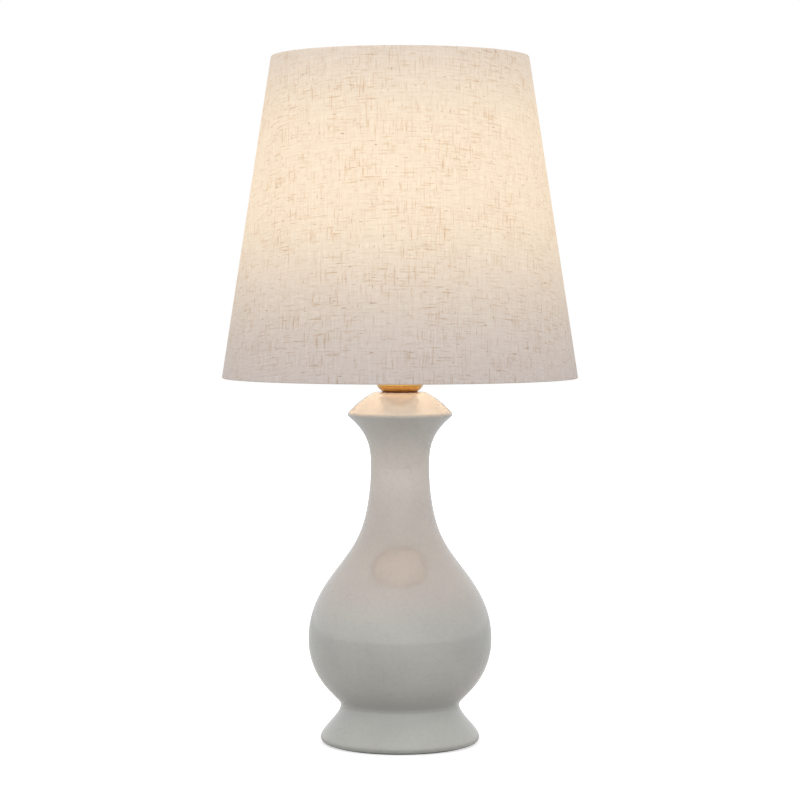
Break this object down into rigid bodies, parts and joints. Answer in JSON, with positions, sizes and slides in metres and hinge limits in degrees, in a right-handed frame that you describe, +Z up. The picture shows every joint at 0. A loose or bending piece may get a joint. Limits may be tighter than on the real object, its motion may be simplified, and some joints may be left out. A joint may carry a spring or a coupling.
{
  "type": "table lamp",
  "caption": "Table lamp with a glazed ceramic baluster body, brass switched lampholder and tapered slubbed-linen shade on a tilting gimbal, lit by a screw-cap bulb.",
  "frame": {"origin": "centre of the foot, on the surface that the lamp stands on", "axes": "+Z up along the lamp's axis, -Y towards the front, +Y towards the cable outlet in the back of the foot, +X to the right"},
  "size_m": [0.3, 0.3, 0.5789],
  "materials": {
    "glazed_ceramic": "glossy greige glaze with a fine crackle",
    "felt": "pressed dark green felt",
    "zinc_steel": "zinc plated",
    "rubber": "matte black",
    "vulcanised_fibre": "dark red-brown fibre",
    "brass": "lacquered, satin",
    "bakelite": "moulded, dark brown",
    "porcelain": "white, half-glazed",
    "contact_brass": "bare, bright",
    "white_enamel": "white powder coat",
    "clear_fibre": "natural nylon",
    "linen": "off-white slubbed linen",
    "liner": "translucent white PVC",
    "opal_diffuser": "opal, lit warm white",
    "white_housing": "white, satin",
    "led_board": "white solder resist on aluminium",
    "circuit_board": "green laminate",
    "nickel": "nickel plated",
    "black_glass": "black vitrite",
    "solder": "solder"
  },
  "bodies": {
    "base": {"ceramic_body": "glazed_ceramic", "felt_pad": "felt", "bottom_plate": "zinc_steel", "threaded_rod": "zinc_steel", "spring_washer": "zinc_steel", "rod_nut": "zinc_steel", "cable_grommet": "rubber", "seat_washer": "vulcanised_fibre", "lampholder_cap": "brass", "grub_screw": "zinc_steel", "lampholder_body": "brass", "switch_block": "bakelite", "terminal_screws": "contact_brass", "earth_screw": "contact_brass", "insulating_core": "porcelain", "contact_shell": "contact_brass", "centre_contact": "contact_brass"},
    "switch": {"switch_bar": "brass"},
    "ring_carrier": {"ring_washer": "clear_fibre"},
    "ring": {"shade_ring": "brass"},
    "fitter": {"fitter_washer": "white_enamel", "gimbal_pins": "zinc_steel"},
    "shade": {"shade_spider": "white_enamel", "bottom_ring": "white_enamel", "top_ring": "white_enamel", "shade_liner": "liner", "shade_fabric": "linen"},
    "bulb_carrier": {"bulb_contact": "solder"},
    "bulb": {"bulb_diffuser": "opal_diffuser", "bulb_housing": "white_housing", "led_board": "led_board", "led_driver": "circuit_board", "bulb_screw_cap": "nickel", "bulb_insulator": "black_glass"}
  },
  "joints": [
    {"name": "switch_push", "type": "slide", "parent": "base", "child": "switch", "axis": [1, 0, 0], "range_m": [0, 0.007]},
    {"name": "ring_rise", "type": "slide", "parent": "base", "child": "ring_carrier", "axis": [0, 0, 1], "range_m": [0, 0.0201]},
    {"name": "ring_turn", "type": "hinge", "parent": "ring_carrier", "child": "ring", "pos_m": [0, 0, 0.356], "axis": [0, 0, 1], "range_deg": [0, 3600]},
    {"name": "shade_swivel", "type": "hinge", "parent": "base", "child": "fitter", "pos_m": [0, 0, 0.35], "axis": [0, 0, 1], "continuous": true},
    {"name": "shade_tilt", "type": "hinge", "parent": "fitter", "child": "shade", "pos_m": [0, 0, 0.354], "axis": [1, 0, 0], "range_deg": [-15, 15]},
    {"name": "bulb_rise", "type": "slide", "parent": "base", "child": "bulb_carrier", "axis": [0, 0, 1], "range_m": [0, 0.0182]},
    {"name": "bulb_turn", "type": "hinge", "parent": "bulb_carrier", "child": "bulb", "pos_m": [0, 0, 0.377], "axis": [0, 0, 1], "range_deg": [0, 1800]}
  ],
  "couplings": [
    {"joint": "ring_rise", "follows": "ring_turn", "m_per_rad": 0.00031831},
    {"joint": "bulb_rise", "follows": "bulb_turn", "m_per_rad": 0.00057773}
  ]
}
